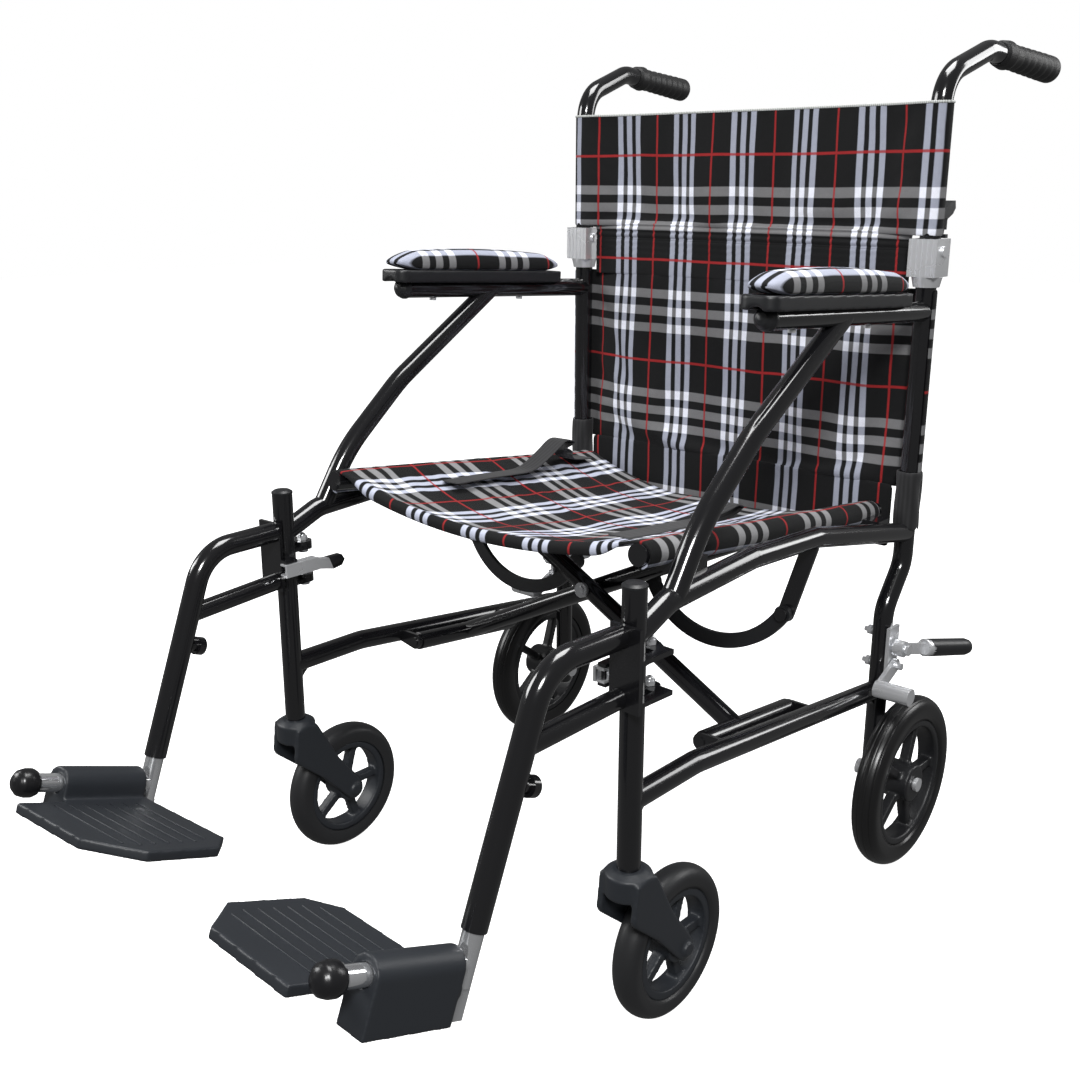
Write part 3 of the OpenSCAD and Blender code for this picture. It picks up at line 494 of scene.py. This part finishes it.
# ---- Back ----------------------------------------------------------------------------------------

BLOCK_LOW, BLOCK_HIGH = 0.662, 0.719      # the hinge blocks leave the cloth only the space between them
POST_SKIN = tube_r + 1.4 * MM
WEB_EDGE = post_x - POST_SKIN - 3 * MM


def back_row(z, side, sweep, span=44, half=WEB_EDGE, out=0.0):
    """One row of back cloth. side is -1 in front of the posts and 1 behind them, 0 between the hinges."""
    r = POST_SKIN + out
    row = [Vector((post_x + r * math.cos(a), back_y + r * math.sin(a), z)) for a in sweep]
    quilt = max(0.0, 1 - abs(z - hinge_z) / (24 * MM))
    pucker = 1.1 * MM * math.sin((z - hinge_z) * math.tau / (7.5 * MM)) * (1 if quilt > 0 else 0)
    for i in range(span + 1):
        x = half * (1 - 2 * i / span)
        t = x / WEB_EDGE
        bow = 6 * MM * (1 - t * t)
        fold = 1.7 * MM * math.sin(x * 31 + z * 22) * math.sin(z * 37 + 1.3) * (1 - t * t) * (1 - quilt)
        row.append(Vector((x, back_y + bow + side * POST_SKIN * 0.9 * abs(t) ** 10 + pucker + fold, z)))
    row += [Vector((-p.x, p.y, p.z)) for p in reversed(row[:len(sweep)])]
    return row


def build_back(name, body, z0, z1, side, sweep, count, half=WEB_EDGE, thickness=2 * MM, material=plaid_back,
               out=0.0):
    """One piece of back cloth from z0 up to z1. sweep holds the angles round the left post, in degrees."""
    sweep = [math.radians(a) for a in sweep]
    rows = [back_row(z0 + (z1 - z0) * k / count, side, sweep, half=half, out=out) for k in range(count + 1)]
    weave = [[(p.x, p.z) for p in row] for row in rows]
    cloth = grid_piece(name, rows, weave, material)
    if count > 12:
        edge = 5 * MM
        hang(cloth, lambda i, p: abs(p.x) > post_x - 25 * MM or p.z < z0 + edge or p.z > z1 - edge, 6 * MM,
             slack=0.01, gravity=0.4)
    thicken(cloth, thickness)
    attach(cloth, body)
    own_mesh(cloth)
    return cloth


ROUND_CANE = (150, 115, 80, 45, 10, -25, -60)   # degrees round the left cane, from its rear to its front
ROUND_POST = (-25, 10, 45, 80)                  # degrees round the left post, from its outside to its rear
top_z = back_top_z - 1.5 * MM
upper = build_back("back_cloth_upper", "cane_left", BLOCK_HIGH, top_z, -1, ROUND_CANE, 24)
upper_band = build_back("back_band_upper", "cane_left", hinge_z - 0.8 * MM, BLOCK_HIGH + 4 * MM, 0, (), 12,
                        half=221 * MM, thickness=2.6 * MM)
lower = build_back("back_cloth_lower", "frame_left", 437 * MM, BLOCK_LOW, 1, ROUND_POST, 36)
lower_band = build_back("back_band_lower", "frame_left", BLOCK_LOW - 4 * MM, hinge_z + 0.8 * MM, 0, (), 12,
                        half=221 * MM, thickness=2.6 * MM)
top_hem = build_back("back_hem_top", "cane_left", top_z - 2.4 * MM, top_z + 0.5 * MM, -1, ROUND_CANE, 3,
                     thickness=3.2 * MM, material=hem_pale, out=0.4 * MM)
skirt = build_back("back_skirt", "frame_left", 366 * MM, 441 * MM, 0, (), 8, half=222 * MM)
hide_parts("back_lower")
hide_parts("back_upper")
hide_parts("back_upper")
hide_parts("back_lower")
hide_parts("back_lower")
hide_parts("back_upper")

# Black cloth sleeve round each rear post at the height of the seat
sleeve_rows = []
for k in range(9):
    z = (393 + 68 * k / 8) * MM
    ring = []
    for i in range(25):
        a = math.tau * i / 24
        r = tube_r + 2.6 * MM + 0.7 * MM * math.sin(5 * a + k)
        ring.append(Vector((post_x + r * math.cos(a), back_y + r * math.sin(a), z)))
    sleeve_rows.append(ring)
sleeve_weave = [[(p.x, p.z) for p in row] for row in sleeve_rows]
sleeve = grid_piece("post_sleeve_left", sleeve_rows, sleeve_weave, tape_black)
thicken(sleeve, 1.6 * MM)
for piece in twin(sleeve, "frame"):
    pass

# ---- Belts ---------------------------------------------------------------------------------------


def on_seat(x, s, lift):
    """Point x across and s behind the front of the rails, lift above the sagging seat."""
    web = rail_x - 4 * MM
    height = rail_r + 1 * MM - SEAT_SAG * (1 - (x / web) ** 2) * 0.98
    return on_fall(x, s, height + lift)


def curve_through(points, steps=5):
    """Points of a smooth curve through the given ones."""
    ends = [points[0], *points, points[-1]]
    out = []
    for i in range(1, len(ends) - 2):
        p0, p1, p2, p3 = ends[i - 1:i + 3]
        for k in range(steps):
            t = k / steps
            out.append(0.5 * (2 * p1 + (p2 - p0) * t + (2 * p0 - 5 * p1 + 4 * p2 - p3) * t * t
                              + (3 * p1 - p0 - 3 * p2 + p3) * t ** 3))
    return out + [points[-1]]


def build_belt(name, stations):
    path = curve_through([on_seat(x * MM, s * MM, h * MM) for x, s, h in stations])
    pairs = []
    for i, p in enumerate(path):
        run = (path[min(i + 1, len(path) - 1)] - path[max(i - 1, 0)]).normalized()
        across = run.cross(fall_up)
        flat = Vector((1, 0, 0.12)) if across.length < 0.4 else across.normalized()
        pairs.append((p, flat if flat.x > 0 else -flat))
    strap = ribbon(name, pairs, 27 * MM, 1.8 * MM, tape_black)
    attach(strap, "seat")
    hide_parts("seat_belt")
    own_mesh(strap)


build_belt("belt_strap_right", [
    (-150, 120, 4), (-154, 170, 5), (-158, 220, 5), (-160, 260, 7), (-162, 292, 22),
    (-165, 322, 38), (-168, 343, 34), (-172, 342, 20), (-175, 356, 9), (-182, 400, 5)])
build_belt("belt_strap_left", [
    (132, 70, 4), (129, 120, 4), (126, 170, 5), (123, 220, 5), (121, 262, 7),
    (120, 290, 15), (122, 278, 20), (125, 250, 15), (127, 215, 11)])

# ---- Armrests ------------------------------------------------------------------------------------


def build_armrest_pad():
    low, high = (Vector(v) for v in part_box("armrest_pad_left"))
    fall = math.radians(3.3)     # the arm bar drops this much towards the rear
    length = (high.y - low.y) / math.cos(fall)
    middle_x = (low.x + high.x) / 2
    half_w = (high.x - low.x) / 2 + 1.5 * MM
    across, count = 28, 44
    rows, weave = [], []
    for k in range(count + 1):
        v = k / count
        end = min(1.0, math.sin(math.pi * min(max(v, 0.004), 0.996)) * 3) ** 0.5
        row, marks = [], []
        for i in range(across):
            a = math.tau * i / across
            c, d = math.cos(a), math.sin(a)
            x = half_w * math.copysign(abs(c) ** 0.7, c) * (0.55 + 0.45 * end)
            if d >= 0:
                h = 8 * MM + 17 * MM * d ** 0.8 * end * (0.72 + 0.28 * math.sin(math.pi * v))
            else:
                h = 8 * MM - 8 * MM * abs(d) ** 0.4 * end
            y = low.y + length * v * math.cos(fall)
            z = low.z + (length * (1 - v)) * math.sin(fall) + h - 0.4 * MM
            row.append(Vector((middle_x + x, y, z)))
            marks.append((x, y))
        rows.append(row)
        weave.append(marks)
    points = [p for row in rows for p in row]
    faces = [tuple(reversed(f)) for f in ring_faces(count + 1, across)]
    faces += [tuple(range(across)), tuple(reversed(range(count * across, (count + 1) * across)))]
    pad = new_piece("armrest_cushion_left", points, faces, plaid_pad)
    flat = [uv for row in weave for uv in row]
    layer = pad.data.uv_layers.new(name="weave")
    for loop in pad.data.loops:
        layer.data[loop.index].uv = flat[loop.vertex_index]
    hang(pad, lambda i, p: (i % across) > across / 2, 2.5 * MM, slack=0.0, pressure=3.0, gravity=0.0,
         frames=12)
    fine = pad.modifiers.new("fine", "SUBSURF")
    fine.levels = 1
    settle(pad)
    for piece in twin(pad, "frame", "armrest_pad"):
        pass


build_armrest_pad()

# ---- Mouldings -----------------------------------------------------------------------------------

for node, body, voxel, rounds, look in (
        ("armrest_base", "frame", 1.5, 3, satin_black), ("caster_fork", "caster_fork", 1.5, 3, nylon_grey),
        ("footplate", "footplate", 1.3, 9, nylon_grey), ("caster_rim", "caster_wheel", 1.7, 2, nylon_grey),
        ("rear_rim", "rear_wheel", 1.8, 2, satin_black)):
    shell = moulded(f"{node}_moulding_left", f"{node}_left", voxel * MM, rounds, look)
    for piece in twin(shell, body, node):
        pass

flip = joints["footplate_flip_left"]
plate_y = Vector(flip["axis"]).normalized()
plate_x = plate_y.cross(Vector((0, 0, 1))).normalized()
plate_z = plate_x.cross(plate_y)
plate = Matrix.Translation(flip["pos_m"]) @ Matrix((plate_x, plate_y, plate_z)).transposed().to_4x4()
RIB_COUNT, RIB_PITCH, RIB_WIDTH = 7, 15, 2.2 * MM
for k in range(RIB_COUNT):
    start, end = (-148 + (6 if k in (0, RIB_COUNT - 1) else 0)) * MM, -32 * MM
    y = (-130 + RIB_PITCH * k + 4) * MM
    outline = rounded([(start, y), (end, y), (end, y + RIB_WIDTH), (start, y + RIB_WIDTH)], 1 * MM, 2)
    rib = slab(f"plate_rib_{k}_left", outline, -12.6 * MM, -11.0 * MM, 0.5 * MM, plate, nylon_grey, 2)
    for piece in twin(rib, "footplate"):
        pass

# ---- Tyres ---------------------------------------------------------------------------------------


def build_tyre(node, body, rim_radius, shoulder, grooves, look):
    """Tyre turned round its wheel's axle. grooves holds their places across the tread."""
    low, high = (Vector(v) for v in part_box(f"{node}_left"))
    outer, half = (high.z - low.z) / 2, (high.x - low.x) / 2
    middle = (low + high) / 2
    bead, flank = rim_radius + 4 * MM, outer - shoulder - 2 * MM
    profile = [(rim_radius, -half * 0.86), (bead, -half * 0.96), (flank, -half)]
    for k in range(73):
        z = half * math.sin(math.radians(-88 + 176 * k / 72))
        r = outer - shoulder * (1 - math.sqrt(max(0.0, 1 - (z / half) ** 2)))
        cut = min((abs(z - g) for g in grooves), default=1.0)
        profile.append((r - (1.1 * MM if cut < 0.55 * MM else 0.0), z))
    profile += [(flank, half), (bead, half * 0.96), (rim_radius, half * 0.86)]
    profile.append(profile[0])
    spin = Matrix.Translation(middle) @ Matrix.Rotation(math.pi / 2, 4, "Y")
    tyre = lathe(f"{node}_rubber_left", profile, spin, look, 112)
    for piece in twin(tyre, body, node):
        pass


build_tyre("caster_tyre", "caster_wheel", 55.5 * MM, 11 * MM, (), tyre_grey)
build_tyre("rear_tyre", "rear_wheel", 75.5 * MM, 13 * MM, [g * MM for g in (-9, -3.2, 3.2, 9)], tyre_black)

# ---- Parts of CAD nodes in another material ------------------------------------------------------

ball_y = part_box("extension_left")[0][1] + 24 * MM
for side in ("left", "right"):
    for name, node, inside, look, body, slot in (
            ("tube_end", "extension", lambda c: c.y < ball_y, ball_black, "extension", "black_plastic"),
            # The right lock handle is painted light grey: a painted highlight, since both handles are black
            # plastic.
            ("lock_handle", "wheel_lock_lever", lambda c: c.y > 317 * MM,
             satin_black if side == "left" else lock_handle_painted_highlight_grey, "wheel_lock_lever", "black_plastic"),
            ("latch_tab", "hanger_latch", lambda c: c.y > -166 * MM,
             satin_black, "hanger_latch", "black_plastic")):
        cover = skin(f"{name}_{side}", f"{node}_{side}", inside, 0.25 * MM, look)
        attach(cover, f"{body}_{side}")

# ---- Camera, light and floor ---------------------------------------------------------------------


def look_from(where, azimuth, elevation, lens):
    data = bpy.data.cameras.new("camera")
    data.lens = lens
    data.sensor_width = 36
    camera = bpy.data.objects.new("camera", data)
    bpy.context.scene.collection.objects.link(camera)
    a, e = math.radians(azimuth), math.radians(elevation)
    forward = Vector((-math.sin(a) * math.cos(e), math.cos(a) * math.cos(e), -math.sin(e)))
    camera.location = where
    camera.rotation_euler = forward.to_track_quat("-Z", "Y").to_euler()
    bpy.context.scene.camera = camera


look_from((833.8 * MM, -989.3 * MM, 778.0 * MM), 41.65, 16.33, 41.13)


def area_light(name, where, target, size, power):
    data = bpy.data.lights.new(name, "AREA")
    data.shape = "RECTANGLE"
    data.size, data.size_y = size
    data.energy = power
    light = bpy.data.objects.new(name, data)
    bpy.context.scene.collection.objects.link(light)
    light.location = where
    light.rotation_euler = (Vector(target) - Vector(where)).to_track_quat("-Z", "Y").to_euler()


area_light("key", (1.6, -1.9, 2.3), (0, 0, 0.4), (0.6, 0.6), 78)
area_light("fill", (-2.2, -1.4, 1.6), (0, 0, 0.4), (1.2, 1.2), 40)
area_light("top", (0.2, 0.3, 2.8), (0, 0, 0.4), (1.2, 1.2), 48)
area_light("rim", (1.4, 2.2, 1.6), (0, 0, 0.5), (0.8, 1.4), 22)

world = bpy.data.worlds.new("studio")
world.use_nodes = True
bpy.context.scene.world = world
backdrop = world.node_tree.nodes["Background"]
backdrop.inputs["Color"].default_value = (1, 1, 1, 1)
rays = world.node_tree.nodes.new("ShaderNodeLightPath")
level = world.node_tree.nodes.new("ShaderNodeMapRange")
level.inputs["To Min"].default_value = 0.15
level.inputs["To Max"].default_value = 1.0
world.node_tree.links.new(rays.outputs["Is Camera Ray"], level.inputs["Value"])
world.node_tree.links.new(level.outputs["Result"], backdrop.inputs["Strength"])
bpy.context.scene.view_settings.view_transform = "Standard"

white = Shader("floor_white", (0.86, 0.86, 0.86), 0.75)
white.set("Emission Color", (1, 1, 1, 1))
white.set("Emission Strength", 1.0)
white.bump(white.noise(40.0), 0.1, 0.0002)
floor = new_piece("floor", [(-9, -9, 0), (9, -9, 0), (9, 9, 0), (-9, 9, 0)], [(0, 1, 2, 3)], white.material)
floor.visible_glossy = False
floor.visible_diffuse = False
